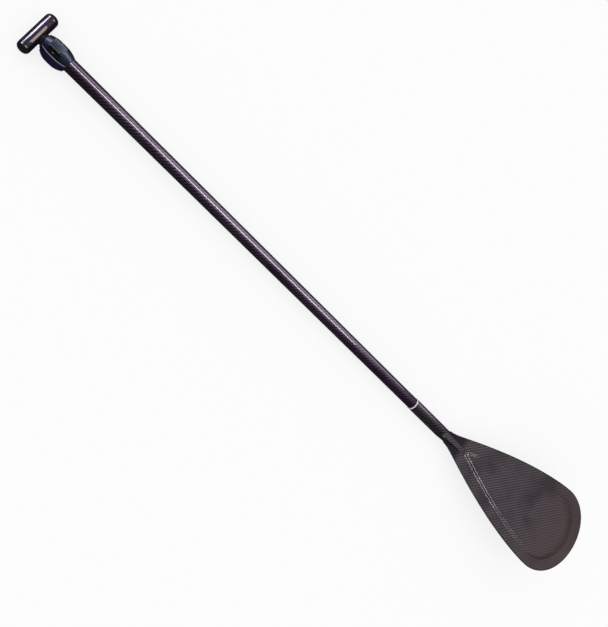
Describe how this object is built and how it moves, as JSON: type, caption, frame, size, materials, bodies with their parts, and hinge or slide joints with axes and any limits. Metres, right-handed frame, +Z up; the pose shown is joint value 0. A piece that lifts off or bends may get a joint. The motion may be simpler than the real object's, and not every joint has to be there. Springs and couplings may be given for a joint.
{
  "type": "adjustable single-blade paddle",
  "caption": "Single-blade paddle with a T-grip, a telescoping grip tube held by a cam-lever clamp, a round shaft and a wide angled leaf-shaped blade.",
  "frame": {"origin": "centre of the paddle's bounding box at the level of the surface that it lies on", "axes": "+X along the shaft from the grip to the blade tip, +Y across the blade, +Z up, towards the side that the blade's tip leans to"},
  "size_m": [1.7418, 0.2288, 0.098],
  "materials": {
    "grip_shell": "glossy clear-coated carbon tube, nearly black",
    "grip_cap": "glossy moulded plastic, nearly black",
    "moulded_nylon": "moulded glass-filled nylon, satin black",
    "extension_laminate": "glossy clear-coated carbon tube",
    "seal_rubber": "smooth black nitrile rubber",
    "clamp_nylon": "satin blue-black glass-filled nylon",
    "liner_nylon": "natural grey acetal",
    "lever_nylon": "satin blue-black glass-filled nylon",
    "steel": "turned and pressed stainless steel",
    "shaft_carbon": "glossy clear-coated carbon with a plum tint",
    "foam": "closed-cell foam, unseen inside",
    "trim_ring": "pale silver-white glossy trim",
    "neck_carbon": "glossy clear-coated carbon, near black",
    "blade_carbon": "glossy clear-coated twill carbon, brown-plum grey",
    "edge_strip": "thin glossy black plastic strip"
  },
  "bodies": {
    "shaft_and_blade": {"outer_shaft": "shaft_carbon", "clamp_body": "clamp_nylon", "clamp_liner": "liner_nylon", "lever_pin": "steel", "cam_plate": "steel", "clamp_bolt": "steel", "bolt_washer": "steel", "shaft_bung": "foam", "joint_ring": "trim_ring", "blade_neck": "neck_carbon", "neck_plug": "foam", "blade_front_skin": "blade_carbon", "blade_back_skin": "blade_carbon", "blade_core": "foam", "edge_rail": "edge_strip"},
    "grip_and_extension": {"palm_bar": "grip_shell", "end_cap_left": "grip_cap", "end_cap_right": "grip_cap", "grip_core": "moulded_nylon", "extension_tube": "extension_laminate", "extension_foot": "moulded_nylon", "foot_seal": "seal_rubber"},
    "lever": {"clamp_lever": "lever_nylon"}
  },
  "joints": [
    {"name": "extension_slide", "type": "slide", "parent": "shaft_and_blade", "child": "grip_and_extension", "axis": [-1, 0, 0], "range_m": [0, 0.4]},
    {"name": "lever_hinge", "type": "hinge", "parent": "shaft_and_blade", "child": "lever", "pos_m": [-0.8164, -0.01161, 0.03878], "axis": [-1, 0, 0], "range_deg": [0, 90]}
  ]
}
